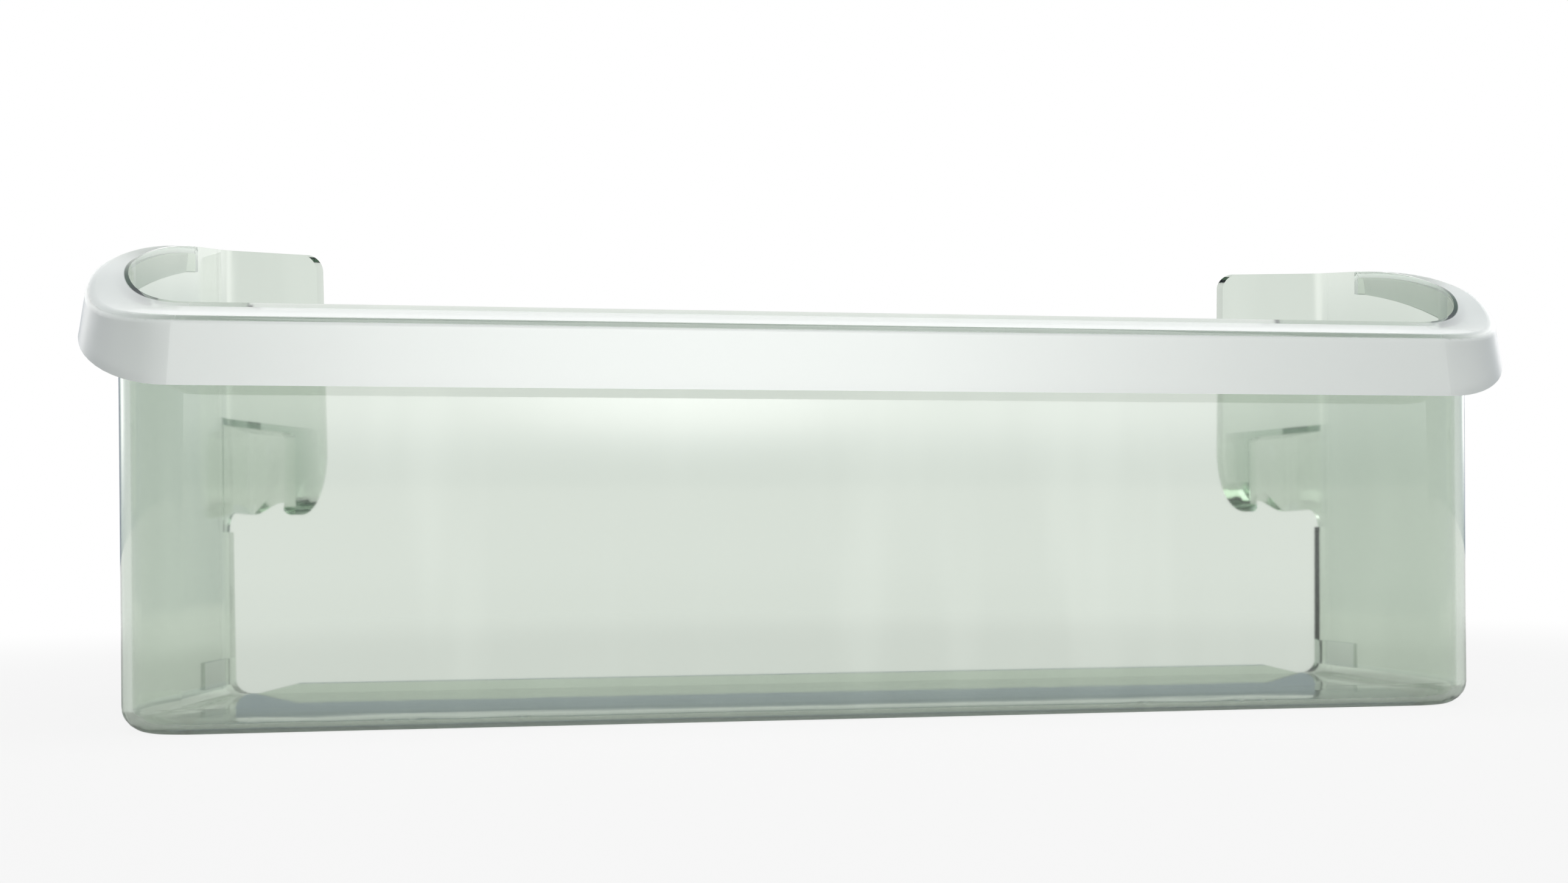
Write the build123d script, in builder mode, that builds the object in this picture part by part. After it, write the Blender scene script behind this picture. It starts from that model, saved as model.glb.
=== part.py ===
# Fridge door shelf: one clear injection moulding with a rim band and two hook wings.
# Millimetres, +Z up, +Y towards the door. The origin is under the middle of the shelf's box.
from build123d import *
from math import cos, radians, tan
import os

# Wall section
wall = 2.4
floor_thickness = 2.4
draft = 2.0                  # degrees that every wall leans outwards

# Tub, measured on its outer face at the base
tub_half_width = 187.8
side_toe = 1.7               # degrees that the sides close in towards the door
front_corner_radius = 20.0
base_radius = 7.0            # outer rounding between walls and floor
floor_depth = 87.0           # front face to the floor's open rear edge

# Wings that carry the hooks
wing_angle = 33.8            # degrees that a wing turns in from the door direction
wing_inset = 25.0            # the wing's free edge in from the tub's side, at the base
wing_reach = 119.0           # front face to the wing's free edge
wing_bend_radius = 14.0
wing_low = 60.0
wing_top = 152.0
wing_low_radius = 6.5        # where the tub's rear edge turns into the wing
wing_toe_depth = 10.0        # long rounding of the wing's lower corner, front to back
wing_toe_height = 24.0
wing_top_radius = 4.5

# Hook pockets in the wings, open below and towards the inside, where the sides run on straight
pocket_roof = 87.6
pocket_roof_radius = 3.0     # between the roof and the tongue
pocket_heel = 4.0            # the pocket's back face to the wing's free edge
pocket_corner_radius = 8.4
pocket_flat_inset = 12.3     # inner end of the pocket's back wall, in from the tub's side
tongue_width = 13.5          # strip of the wing between the pocket and the free edge, on its inner face

# Rim band
rim_offset = 14.2            # lower edge of the skirt outside the tub's base outline
rim_lean = 6.0               # degrees that the skirt leans in towards its top
rim_end = 65.0               # front face to the band's rear end
rim_round = 3.2
rim_top = 2.2
skirt = 2.0

# Side view of the rim's crest and of the skirt's hem: heights at four stations, and rises per millimetre
corner_station = 13.0        # stations are distances behind the front face
side_station = 40.0
crest_front = 103.0
crest_corner = 120.6
crest_side = 133.8
crest_end = 140.5
crest_front_rise = 0.3
hem_front = 86.3
hem_corner = 106.8
hem_side = 123.0
hem_end = 132.7
hem_front_rise = 0.9
hem_end_rise = 0.33

# Lip along the floor's rear edge
lip_height = 3.0             # above the floor
lip_half_length = 162.0
lip_run_out = 12.5           # length over which each end falls to the floor

# Pads outside the sides' lower rear corners
pad_length = 19.0
pad_low = 5.0
pad_top = 13.5
pad_proud = 1.2

# Worked out from the sizes above
front = rim_offset - (rim_offset + wing_reach) / 2
past = 4 * wall              # how far cutters and wings run on beyond the finished edges
full_height = wing_top + past
across = 3 * tub_half_width  # length of the solids drawn in the side view
left_of_part = Plane.YZ.offset(-across / 2)
wing_slope = tan(radians(wing_angle))
toe_slope = tan(radians(side_toe))
bend = wing_reach - (wing_inset - wing_reach * toe_slope) / (wing_slope - toe_slope)
bend_start = bend - wing_bend_radius * tan(radians(wing_angle - side_toe) / 2)
pocket_start = bend_start + wall / 2
pocket_back = wing_reach - pocket_heel
pocket_low = wing_low - wing_low_radius
pocket_middle = (wing_low + pocket_roof) / 2
tongue_start = wing_reach - tongue_width * cos(radians(wing_angle))


def back(distance):
    """Y of a point this far behind the front face."""
    return front + distance


def wing_point(distance, height, depth=0):
    """Plan point on the right wing's outer face, or this deep behind it, at a height."""
    drafted = height * tan(radians(draft)) - depth
    x = tub_half_width - wing_inset + (wing_reach - distance) * wing_slope
    return x + drafted / cos(radians(wing_angle)), back(distance)


def both_sides(right):
    """A run of points down the right side, with its mirror image back up the left."""
    return right + [(-x, y) for x, y in reversed(right)]


def sweep_points(heights, below=0):
    """Side-view points of the crest or the hem, lowered by an amount."""
    stations = [-rim_offset, corner_station, side_station, rim_end]
    return [(back(d), z - below) for d, z in zip(stations, heights)]


crest_heights = [crest_front, crest_corner, crest_side, crest_end]
crest_ends = [(1, crest_front_rise), (wing_reach - rim_end, wing_top - crest_end)]
hem_ends = [(1, hem_front_rise), (1, hem_end_rise)]

# Outer plan of the walls at the base; the wings run past their free edges and are trimmed later
with BuildSketch() as tub_plan:
    with BuildLine():
        right = [
            (tub_half_width, front),
            (tub_half_width - bend * toe_slope, back(bend)),
            wing_point(wing_reach + past, 0),
        ]
        Polyline(both_sides(right), close=True)
    make_face()
    fillet(tub_plan.vertices().group_by(Axis.Y)[1], wing_bend_radius)
    fillet(tub_plan.vertices().group_by(Axis.Y)[0], front_corner_radius)

# The same front with its sides run straight back, for the rim band and the hook pockets
with BuildSketch() as straight_plan:
    with BuildLine():
        right = [
            (tub_half_width, front),
            (tub_half_width - pocket_back * toe_slope, back(pocket_back)),
        ]
        Polyline(both_sides(right), close=True)
    make_face()
    fillet(straight_plan.vertices().group_by(Axis.Y)[-1], pocket_corner_radius)
    fillet(straight_plan.vertices().group_by(Axis.Y)[0], front_corner_radius)

# Side view of the whole shelf, under its crest
with BuildSketch(left_of_part) as side_view:
    with BuildLine():
        crest = Spline(sweep_points(crest_heights), tangents=crest_ends)
        toe_centre = (back(wing_reach - wing_toe_depth), wing_low + wing_toe_height)
        toe = EllipticalCenterArc(toe_centre, wing_toe_depth, wing_toe_height, start_angle=270, arc_size=90)
        Polyline(crest @ 1, (back(wing_reach), wing_top), toe @ 1)
        Polyline(
            toe @ 0,
            (back(floor_depth), wing_low),
            (back(floor_depth), 0),
            (back(-rim_offset), 0),
            crest @ 0,
        )
    make_face()
    fillet(side_view.vertices().sort_by_distance((back(wing_reach), wing_top))[0], wing_top_radius)
    fillet(side_view.vertices().sort_by_distance((back(floor_depth), wing_low))[0], wing_low_radius)

# Room inside the walls
with BuildPart() as inside:
    with BuildSketch(Plane.XY.offset(floor_thickness)):
        offset(tub_plan.sketch, -wall, kind=Kind.INTERSECTION)
    extrude(amount=full_height, taper=-draft)
    fillet(inside.faces().sort_by(Axis.Z)[0].edges(), base_radius - wall)

# Hollow under the rim band, closed at its rear end
with BuildPart() as channel:
    with BuildSketch(Plane.XY.offset(hem_front)):
        offset(straight_plan.sketch, rim_offset - skirt)
    extrude(amount=full_height - hem_front, taper=rim_lean)
    with BuildSketch(left_of_part):
        with BuildLine():
            roof = Spline(sweep_points(crest_heights, below=rim_top), tangents=crest_ends)
            Polyline(roof @ 1, (back(rim_end), 0), (back(-rim_offset), 0), roof @ 0)
        make_face()
        with Locations((back(rim_end - skirt), 0)):
            Rectangle(past, 2 * full_height, align=(Align.MIN, Align.CENTER), mode=Mode.SUBTRACT)
    extrude(amount=across, mode=Mode.INTERSECT)

# Rim band over the walls, with the skirt's hem swept up along the sides
with BuildPart() as rim:
    with BuildSketch(Plane.XY.offset(hem_front)):
        offset(straight_plan.sketch, rim_offset)
    extrude(amount=full_height - hem_front, taper=rim_lean)
    with BuildSketch(left_of_part):
        with BuildLine():
            over = Spline(sweep_points(crest_heights), tangents=crest_ends)
            Polyline(over @ 1, (back(rim_end), 0), (back(-rim_offset), 0), over @ 0)
        make_face()
    extrude(amount=across, mode=Mode.INTERSECT)
    top = rim.faces().sort_by(Axis.Z)[-1]
    fillet(top.edges().sort_by(Axis.Y)[:-1], rim_round)
    add(channel.part, mode=Mode.SUBTRACT)
    with BuildSketch(left_of_part):
        with BuildLine():
            hem = Spline(sweep_points([hem_front, hem_corner, hem_side, hem_end]), tangents=hem_ends)
            Polyline(hem @ 1, (back(rim_end), full_height), (back(-rim_offset), full_height), hem @ 0)
        make_face()
    extrude(amount=across, mode=Mode.INTERSECT)

# Blocks outside the wings that become the hook pockets
with BuildPart() as pockets:
    extrude(straight_plan.sketch, amount=pocket_roof + wall, taper=-draft)
    split(bisect_by=Plane.XY.offset(pocket_low))

# Rooms of the hook pockets, each cut through its wing from the bend to the tongue
with BuildPart() as pocket_rooms:
    with BuildSketch(Plane.XY.offset(floor_thickness)):
        offset(straight_plan.sketch, -wall, kind=Kind.INTERSECTION)
    extrude(amount=pocket_roof - floor_thickness, taper=-draft)
    with BuildSketch(Plane.XY.offset(pocket_low)):
        outside = tub_half_width + past
        flat_end = Vector(tub_half_width - pocket_flat_inset, back(pocket_back - wall))
        tongue_edge = Vector(wing_point(tongue_start, pocket_middle, wall))
        with BuildLine():
            Polyline(
                (outside, back(pocket_start)),
                (outside, back(wing_reach)),
                (flat_end.X, back(wing_reach)),
                flat_end,
                2 * tongue_edge - flat_end,
                wing_point(pocket_start, pocket_middle, past),
                close=True,
            )
        make_face()
        mirror(about=Plane.YZ)
    extrude(amount=pocket_roof - pocket_low, mode=Mode.INTERSECT)
    roofs = pocket_rooms.faces().group_by(Axis.Z)[-1]
    tongue_sides = [roof.edges().sort_by(lambda edge: abs(edge.center().X))[0] for roof in roofs]
    fillet(tongue_sides, pocket_roof_radius)

# Pads that stand out from the sides at the floor's rear edge
with BuildPart() as pads:
    with BuildSketch():
        offset(tub_plan.sketch, pad_proud)
    extrude(amount=pad_top, taper=-draft)
    with BuildSketch(left_of_part):
        with Locations((back(floor_depth), pad_low)):
            Rectangle(pad_length, pad_top - pad_low, align=(Align.MAX, Align.MIN))
    extrude(amount=across, mode=Mode.INTERSECT)

with BuildPart() as door_shelf:
    extrude(tub_plan.sketch, amount=full_height, taper=-draft)
    fillet(door_shelf.faces().sort_by(Axis.Z)[0].edges(), base_radius)
    add(pockets.part)
    extrude(side_view.sketch, amount=across, mode=Mode.INTERSECT)
    add(pads.part)
    add(rim.part)
    add(inside.part, mode=Mode.SUBTRACT)
    add(pocket_rooms.part, mode=Mode.SUBTRACT)

    # Lip along the floor's rear edge, with ends that fall to the floor
    with BuildSketch(Plane.XZ.offset(-back(floor_depth))):
        with BuildLine():
            right = [
                (lip_half_length, floor_thickness + lip_height),
                (lip_half_length + lip_run_out, floor_thickness),
            ]
            Polyline(both_sides(right), close=True)
        make_face()
    extrude(amount=wall)

door_shelf.part.label = "door_shelf"
os.makedirs("parts", exist_ok=True)
export_step(door_shelf.part, "parts/door_shelf.step")
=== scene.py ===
"""Clear fridge door shelf on a pale floor, seen from the front and from below its rim."""
import math

import bmesh
import bpy
from mathutils import Matrix, Vector


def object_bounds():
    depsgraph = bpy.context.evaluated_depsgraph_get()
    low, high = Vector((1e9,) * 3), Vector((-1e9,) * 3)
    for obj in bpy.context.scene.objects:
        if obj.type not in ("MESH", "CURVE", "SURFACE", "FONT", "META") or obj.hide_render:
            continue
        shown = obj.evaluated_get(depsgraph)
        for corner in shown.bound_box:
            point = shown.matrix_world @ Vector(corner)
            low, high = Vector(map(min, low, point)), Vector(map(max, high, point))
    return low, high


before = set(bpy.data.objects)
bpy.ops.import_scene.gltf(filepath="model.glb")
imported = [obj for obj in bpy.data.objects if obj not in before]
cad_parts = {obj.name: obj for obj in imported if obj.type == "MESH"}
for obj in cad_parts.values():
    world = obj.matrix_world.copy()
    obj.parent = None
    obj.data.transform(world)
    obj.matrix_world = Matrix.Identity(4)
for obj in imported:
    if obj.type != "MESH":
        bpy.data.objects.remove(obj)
cad_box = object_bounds()

MM = 0.001

# Camera, in the frame's millimetres; angles in radians, the lens and its centre in pixels of the photograph
IMAGE_WIDTH = 2576
IMAGE_HEIGHT = 1450
CAMERA_PLACE = Vector((-50.6, -374.7, 41.7)) * MM
CAMERA_YAW = -0.1194
CAMERA_PITCH = -0.0707
CAMERA_ROLL = -0.0084
FOCAL_PIXELS = 2000.9
CENTRE_PIXEL = (1310.2, 785.4)
SENSOR_WIDTH = 36.0
CLIP_START = 10.0 * MM

# Shelf walls and rim band, as the moulding is drawn
FRONT_FACE = -52.4 * MM
HALF_WIDTH = 187.8 * MM
CORNER_RADIUS = 20.0 * MM
DRAFT_RISE = math.tan(math.radians(2.0))
TOE_RISE = math.tan(math.radians(1.7))
RIM_FALL = math.tan(math.radians(6.0)) + DRAFT_RISE
RIM_REACH = 23.27 * MM

# Frosted places. Here and below, a pair is a fade from nothing at its first value to all at its second
BAND_FOOT = (80.0 * MM, 84.0 * MM)
BAND_END = (12.6 * MM, 13.6 * MM)
CORNERS = (155.0 * MM, 190.0 * MM)
SIDES = (-42.0 * MM, -20.0 * MM)
SKIRT_FACE = (-1.4 * MM, -0.6 * MM)
TOP_INNER_EDGE = (-2.0 * MM, -1.6 * MM)
TOP_TILT = (0.82, 0.9)
CREST_TILT = (0.3, 0.5)
CORNER_TILT = (0.3, 0.6)
# The pads' frost is a painted highlight
PAD_FACE = (0.5 * MM, 1.0 * MM)
PAD_TOP = (14.5 * MM, 15.5 * MM)

# Clear plastic: what a wall lets through, and what more is lost on long ways inside it
PLASTIC_IOR = 1.5
WALL_TINT = (0.724, 0.774, 0.711, 1)
STREAK_TINT = (0.763, 0.813, 0.749, 1)
STREAKS = (0.45, 0.7)
DEPTH_TINT = (0.0, 0.25, 0.05, 1)
DEPTH_LOSS = 26.0
FLOW_SIZE = 26.0 * MM
FLOW_STRETCH = (1, 1, 6)
RIPPLE_STRENGTH = 0.12
RIPPLE_DEPTH = 0.6 * MM
GLASS_ROUGHNESS = 0.03
FLOW_ROUGHNESS = 0.05

# Frosting of the rim band, and a white frost on the pads that paints their highlight: its whites, the light
# that comes through it, and its grain
FROST_WHITE = (0.80, 0.835, 0.81, 1)
LIT_THROUGH_AND_PAD_HIGHLIGHT_WHITE = (0.95, 0.97, 0.96, 1)
FROST_CLEARNESS = 0.12
FRONT_LIT_THROUGH = 0.05
SIDE_LIT_THROUGH = 0.6
PAD_HIGHLIGHT_THROUGH = 0.95
GRAIN_SIZE = 0.5 * MM
SAND_STRENGTH = 0.15
SAND_DEPTH = 0.05 * MM
FROST_ROUGHNESS = 0.36
GRAIN_ROUGHNESS = 0.1
COAT_ROUGHNESS = 0.35

# Floor, in metres: it shows the shelf's shadow close by, with shade painted under the shelf, and fades to
# plain white further off
FLOOR_HALF_SIZE = 12.0
WHITE_FADE = (0.25, 0.7)
FLOOR_COLOUR = (0.75, 0.75, 0.75, 1)
FLOOR_BOUNCE = (0.2, 0.2, 0.2, 1)
FLOOR_GLOW = 0.85
# Painted shade: seen through the shelf's floor, the floor under it glows less
PAINTED_SHADE_GLOW = 0.2
PAINTED_SHADE_MIDDLE = -0.04
PAINTED_SHADE_WIDTH = (0.19, 0.23)
PAINTED_SHADE_DEPTH = (0.07, 0.1)

# Studio light, as strengths beside a white backdrop of 1; its fades run over the parts of a unit direction
WHITE = (1, 1, 1, 1)
COOL_SHADE = (0.38, 0.43, 0.51, 1)
AMBIENT_LIGHT = 0.12
SIDE_LOSS = 0.7
SIDE_WAYS = (0.4, 0.9)
FILL_SHARE = 0.34
GLOW_WAY = Vector((0.08, -0.96, 0.28)).normalized()
GLOW_SPREAD = (0.75, 0.97)
GLOW_FOOT = (0.0, 0.06)
GLOW_LIGHT = 2.8
LAMP_WAY = Vector((0.03, -0.93, 0.37)).normalized()
LAMP_SPREAD = (0.93, 0.985)
LAMP_LIGHT = 11.0
BACKDROP_WAYS = (0.2, 0.7)
BACKDROP_FOOT = (0.2, 0.26)
BACKDROP_LIGHT = 0.8
STRIP_PLACE = 0.8
STRIP_WIDTH = (0.0, 0.15)
STRIP_FOOT = (0.0, 0.1)
STRIP_LIGHT = 1.5
HORIZON = (-0.06, -0.02)
TOP_CARD_PLACE = (0.1, -0.3, 1.3)
TOP_CARD_POWER = 8.0


class Signal:
    """A shader socket for use in Python expressions: each operation adds a Math node."""

    def __init__(self, shader, socket):
        self.shader = shader
        self.socket = socket

    def maths(self, operation, *values):
        inputs = dict(enumerate(values))
        return self.shader.node("ShaderNodeMath", {"operation": operation}, inputs)

    def __add__(self, other):
        return self.maths("ADD", self, other)

    def __radd__(self, other):
        return self.maths("ADD", other, self)

    def __sub__(self, other):
        return self.maths("SUBTRACT", self, other)

    def __rsub__(self, other):
        return self.maths("SUBTRACT", other, self)

    def __mul__(self, other):
        return self.maths("MULTIPLY", self, other)

    def __rmul__(self, other):
        return self.maths("MULTIPLY", other, self)

    def __abs__(self):
        return self.maths("ABSOLUTE", self)

    def at_least(self, other):
        return self.maths("MAXIMUM", self, other)

    def at_most(self, other):
        return self.maths("MINIMUM", self, other)

    def root(self):
        return self.maths("SQRT", self)

    def ramp(self, low, high):
        """0 below low, 1 above high, and smooth between them."""
        inputs = {"Value": self, "From Min": low, "From Max": high}
        return self.shader.node("ShaderNodeMapRange", {"interpolation_type": "SMOOTHSTEP"}, inputs)


class Shader:
    """The node tree of one material or world."""

    def __init__(self, owner):
        owner.use_nodes = True
        self.tree = owner.node_tree
        self.tree.nodes.clear()

    def node(self, kind, settings=None, inputs=None, output=0):
        """Adds a node: settings first, then the values or links of its sockets."""
        made = self.tree.nodes.new(kind)
        for name, value in (settings or {}).items():
            setattr(made, name, value)
        for name, value in (inputs or {}).items():
            if isinstance(value, Signal):
                self.tree.links.new(value.socket, made.inputs[name])
            else:
                made.inputs[name].default_value = value
        return Signal(self, made.outputs[output]) if made.outputs else made

    def axes(self, vector):
        """The three parts of a vector as signals."""
        return [self.node("ShaderNodeSeparateXYZ", inputs={0: vector}, output=axis) for axis in "XYZ"]

    def place(self):
        """Object coordinates as three signals."""
        return self.axes(self.node("ShaderNodeTexCoord", output="Object"))

    def facing(self):
        """The surface's own direction as three signals."""
        return self.axes(self.node("ShaderNodeNewGeometry", output="Normal"))

    def ray(self, *kinds):
        """1 for rays of these kinds, such as Camera or Transmission."""
        found = [self.node("ShaderNodeLightPath", output=f"Is {kind} Ray") for kind in kinds]
        total = found[0]
        for other in found[1:]:
            total = total.at_least(other)
        return total

    def dot(self, vector, way):
        """How far a vector points along a fixed way."""
        return self.node("ShaderNodeVectorMath", {"operation": "DOT_PRODUCT"}, {0: vector, 1: way}, "Value")

    def mix(self, share, first, second):
        """The first colour, and the second where share is 1."""
        inputs = {"Factor": share, 6: first, 7: second}
        return self.node("ShaderNodeMix", {"data_type": "RGBA"}, inputs, output=2)

    def noise(self, size, stretch=(1, 1, 1), detail=2.0):
        """Noise around 0.5 with features of this size in metres, longer where stretch is larger."""
        spot = self.node("ShaderNodeTexCoord", output="Object")
        scale = [1 / (size * s) for s in stretch]
        placed = self.node("ShaderNodeMapping", inputs={"Vector": spot, "Scale": scale})
        inputs = {"Vector": placed, "Scale": 1.0, "Detail": detail}
        return self.node("ShaderNodeTexNoise", inputs=inputs)


def outset(shader):
    """How far a point stands outside the straight side and front walls, in metres."""
    x, y, z = shader.place()
    side = (abs(x) - (HALF_WIDTH - CORNER_RADIUS) + (y - FRONT_FACE) * TOE_RISE).at_least(0)
    ahead = (FRONT_FACE + CORNER_RADIUS - y).at_least(0)
    return (side * side + ahead * ahead).root() - CORNER_RADIUS - z * DRAFT_RISE


def frosted_places(shader):
    """Two signals: 1 on the frosted rim band and on the pads' painted highlight, and 1 on the pads alone.
    """
    x, y, z = shader.place()
    upward = shader.facing()[2]
    proud = outset(shader)
    on_rim = z.ramp(*BAND_FOOT) * (1 - y.ramp(*BAND_END))
    corner = abs(x).ramp(*CORNERS)

    # The rounding along the front's crest stays clear and shows as a dark line
    clear_line = upward.ramp(*CREST_TILT) * (1 - corner)
    skirt = (proud + z * RIM_FALL - RIM_REACH).ramp(*SKIRT_FACE) * (1 - clear_line)
    level = upward.ramp(*TOP_TILT).at_least(upward.ramp(*CORNER_TILT) * corner)
    top = level * proud.ramp(*TOP_INNER_EDGE)
    # The pads get a white frost that paints their highlight
    pad_highlight = proud.ramp(*PAD_FACE) * (1 - z.ramp(*PAD_TOP))
    return (skirt.at_least(top) * on_rim).at_least(pad_highlight), pad_highlight


def clear_plastic():
    """Clear moulded plastic with a faint green tint, a frosted finish on the rim band, and a white frost on
    the pads that paints their highlight.
    """
    material = bpy.data.materials.new("clear_plastic")
    shader = Shader(material)
    flow = shader.noise(FLOW_SIZE, stretch=FLOW_STRETCH)
    ripple = shader.node("ShaderNodeBump", inputs={
        "Strength": RIPPLE_STRENGTH,
        "Distance": RIPPLE_DEPTH,
        "Height": flow,
    })
    glass = shader.node("ShaderNodeBsdfPrincipled", inputs={
        "Base Color": shader.mix(flow.ramp(*STREAKS), WALL_TINT, STREAK_TINT),
        "Roughness": GLASS_ROUGHNESS + FLOW_ROUGHNESS * flow,
        "IOR": PLASTIC_IOR,
        "Transmission Weight": 1.0,
        "Normal": ripple,
    })

    grain = shader.noise(GRAIN_SIZE, detail=1.0)
    sand = shader.node("ShaderNodeBump", inputs={
        "Strength": SAND_STRENGTH,
        "Distance": SAND_DEPTH,
        "Height": grain,
    })
    satin = shader.node("ShaderNodeBsdfPrincipled", inputs={
        "Base Color": FROST_WHITE,
        "Roughness": FROST_ROUGHNESS + GRAIN_ROUGHNESS * grain,
        "IOR": PLASTIC_IOR,
        "Transmission Weight": FROST_CLEARNESS,
        "Coat Weight": 1.0,
        "Coat Roughness": COAT_ROUGHNESS,
        "Normal": sand,
    })
    lit_through = shader.node("ShaderNodeBsdfTranslucent", inputs={"Color": LIT_THROUGH_AND_PAD_HIGHLIGHT_WHITE, "Normal": sand})

    # The frost lets little light through in front and more at the sides; on the pads it lets most through,
    # a white patch that paints their highlight
    frosted, pad_highlight = frosted_places(shader)
    at_side = shader.place()[1].ramp(*SIDES)
    through = FRONT_LIT_THROUGH + (SIDE_LIT_THROUGH - FRONT_LIT_THROUGH) * at_side
    through = through + (PAD_HIGHLIGHT_THROUGH - SIDE_LIT_THROUGH) * pad_highlight
    frost = shader.node("ShaderNodeMixShader", inputs={0: through, 1: satin, 2: lit_through})
    surface = shader.node("ShaderNodeMixShader", inputs={0: frosted, 1: glass, 2: frost})
    depth = shader.node("ShaderNodeVolumeAbsorption", inputs={"Color": DEPTH_TINT, "Density": DEPTH_LOSS})
    shader.node("ShaderNodeOutputMaterial", inputs={"Surface": surface, "Volume": depth})
    return material


def pale_floor():
    """Pale floor that shows almost white, with the shelf's soft shadow left in it and shade painted under
    the shelf.
    """
    material = bpy.data.materials.new("pale_floor")
    shader = Shader(material)
    x, y = shader.place()[:2]
    colour = shader.mix(shader.ray("Diffuse"), FLOOR_COLOUR, FLOOR_BOUNCE)
    matt = shader.node("ShaderNodeBsdfDiffuse", inputs={"Color": colour})
    glow = shader.node("ShaderNodeEmission", inputs={"Color": WHITE, "Strength": 1.0})

    # Painted shade: seen through the shelf's own floor, the place under it glows less and stays dim
    painted_shade_under = (1 - abs(x).ramp(*PAINTED_SHADE_WIDTH)) * (1 - abs(y - PAINTED_SHADE_MIDDLE).ramp(*PAINTED_SHADE_DEPTH))
    through = FLOOR_GLOW - (FLOOR_GLOW - PAINTED_SHADE_GLOW) * painted_shade_under
    near = (FLOOR_GLOW * shader.ray("Camera")).at_least(through * shader.ray("Transmission"))
    seen = shader.ray("Camera", "Glossy", "Transmission")
    away = (x * x + y * y).root().ramp(*WHITE_FADE)
    share = near + (seen - near) * away
    surface = shader.node("ShaderNodeMixShader", inputs={0: share, 1: matt, 2: glow})
    shader.node("ShaderNodeOutputMaterial", inputs={"Surface": surface})
    return material


def studio_world():
    """Plain white behind the shelf, and a cool room with lights round it in the reflections."""
    world = bpy.data.worlds.new("studio")
    shader = Shader(world)
    way = shader.node("ShaderNodeTexCoord", output="Generated")
    x, y, z = shader.axes(way)
    glow = shader.dot(way, GLOW_WAY).ramp(*GLOW_SPREAD) * z.ramp(*GLOW_FOOT)
    lamp = shader.dot(way, LAMP_WAY).ramp(*LAMP_SPREAD)
    beside = 1 - abs(abs(x) - STRIP_PLACE).ramp(*STRIP_WIDTH)
    strip = beside * y.ramp(*STRIP_FOOT) * z.ramp(*STRIP_FOOT)
    backdrop = y.ramp(*BACKDROP_WAYS) * z.ramp(*BACKDROP_FOOT)

    plain = shader.ray("Camera", "Transmission") * z.ramp(*HORIZON)
    glossy = shader.ray("Glossy")
    bright = (glow + lamp + strip + backdrop).at_most(1)
    colour = shader.mix(glossy * (1 - plain) * (1 - bright), WHITE, COOL_SHADE)
    front_light = GLOW_LIGHT * glow + LAMP_LIGHT * lamp
    in_gloss = 1 + front_light + STRIP_LIGHT * strip + BACKDROP_LIGHT * backdrop
    on_matt = AMBIENT_LIGHT * (1 - SIDE_LOSS * abs(x).ramp(*SIDE_WAYS)) + FILL_SHARE * front_light
    strength = plain + (1 - plain) * (glossy * in_gloss + (1 - glossy) * on_matt)
    light = shader.node("ShaderNodeBackground", inputs={"Color": colour, "Strength": strength})
    shader.node("ShaderNodeOutputWorld", inputs={"Surface": light})
    bpy.context.scene.world = world


def add_floor():
    """A wide flat floor under the shelf."""
    mesh = bpy.data.meshes.new("floor")
    shape = bmesh.new()
    bmesh.ops.create_grid(shape, x_segments=1, y_segments=1, size=FLOOR_HALF_SIZE)
    shape.to_mesh(mesh)
    shape.free()
    floor = bpy.data.objects.new("floor", mesh)
    bpy.context.scene.collection.objects.link(floor)
    mesh.materials.append(pale_floor())


def add_lamp(name, place, target, width, height, power):
    """A soft lamp that looks at a point, and shows only in reflections."""
    lamp = bpy.data.lights.new(name, "AREA")
    lamp.shape = "RECTANGLE"
    lamp.size = width
    lamp.size_y = height
    lamp.energy = power
    holder = bpy.data.objects.new(name, lamp)
    holder.location = place
    holder.rotation_mode = "QUATERNION"
    holder.rotation_quaternion = (Vector(target) - Vector(place)).to_track_quat("-Z", "Y")
    holder.visible_camera = False
    bpy.context.scene.collection.objects.link(holder)


def add_camera():
    """Camera at the photograph's place, with its lens and framing."""
    across = Vector((math.cos(CAMERA_YAW), math.sin(CAMERA_YAW), 0))
    level = Vector((-math.sin(CAMERA_YAW), math.cos(CAMERA_YAW), 0))
    up = Vector((0, 0, 1))
    look = level * math.cos(CAMERA_PITCH) - up * math.sin(CAMERA_PITCH)
    lift = level * math.sin(CAMERA_PITCH) + up * math.cos(CAMERA_PITCH)
    right = across * math.cos(CAMERA_ROLL) + lift * math.sin(CAMERA_ROLL)
    top = lift * math.cos(CAMERA_ROLL) - across * math.sin(CAMERA_ROLL)
    data = bpy.data.cameras.new("camera")
    data.sensor_width = SENSOR_WIDTH
    data.lens = FOCAL_PIXELS / IMAGE_WIDTH * SENSOR_WIDTH
    data.shift_x = (IMAGE_WIDTH / 2 - CENTRE_PIXEL[0]) / IMAGE_WIDTH
    data.shift_y = (CENTRE_PIXEL[1] - IMAGE_HEIGHT / 2) / IMAGE_WIDTH
    data.clip_start = CLIP_START
    camera = bpy.data.objects.new("camera", data)
    turn = Matrix((right, top, -look)).transposed().to_4x4()
    camera.matrix_world = Matrix.Translation(CAMERA_PLACE) @ turn
    bpy.context.scene.collection.objects.link(camera)
    bpy.context.scene.camera = camera


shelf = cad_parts["door_shelf"]
shelf.material_slots[0].material = clear_plastic()

add_floor()
studio_world()
shelf_middle = (cad_box[0] + cad_box[1]) / 2
add_lamp("top_card", TOP_CARD_PLACE, shelf_middle, width=1.2, height=1.0, power=TOP_CARD_POWER)
add_camera()
bpy.context.scene.view_settings.view_transform = "Standard"

# Light turns many times inside clear walls before it leaves them
bounces = bpy.context.scene.cycles
bounces.max_bounces = 32
bounces.glossy_bounces = 24
bounces.diffuse_bounces = 12
bounces.transmission_bounces = 32
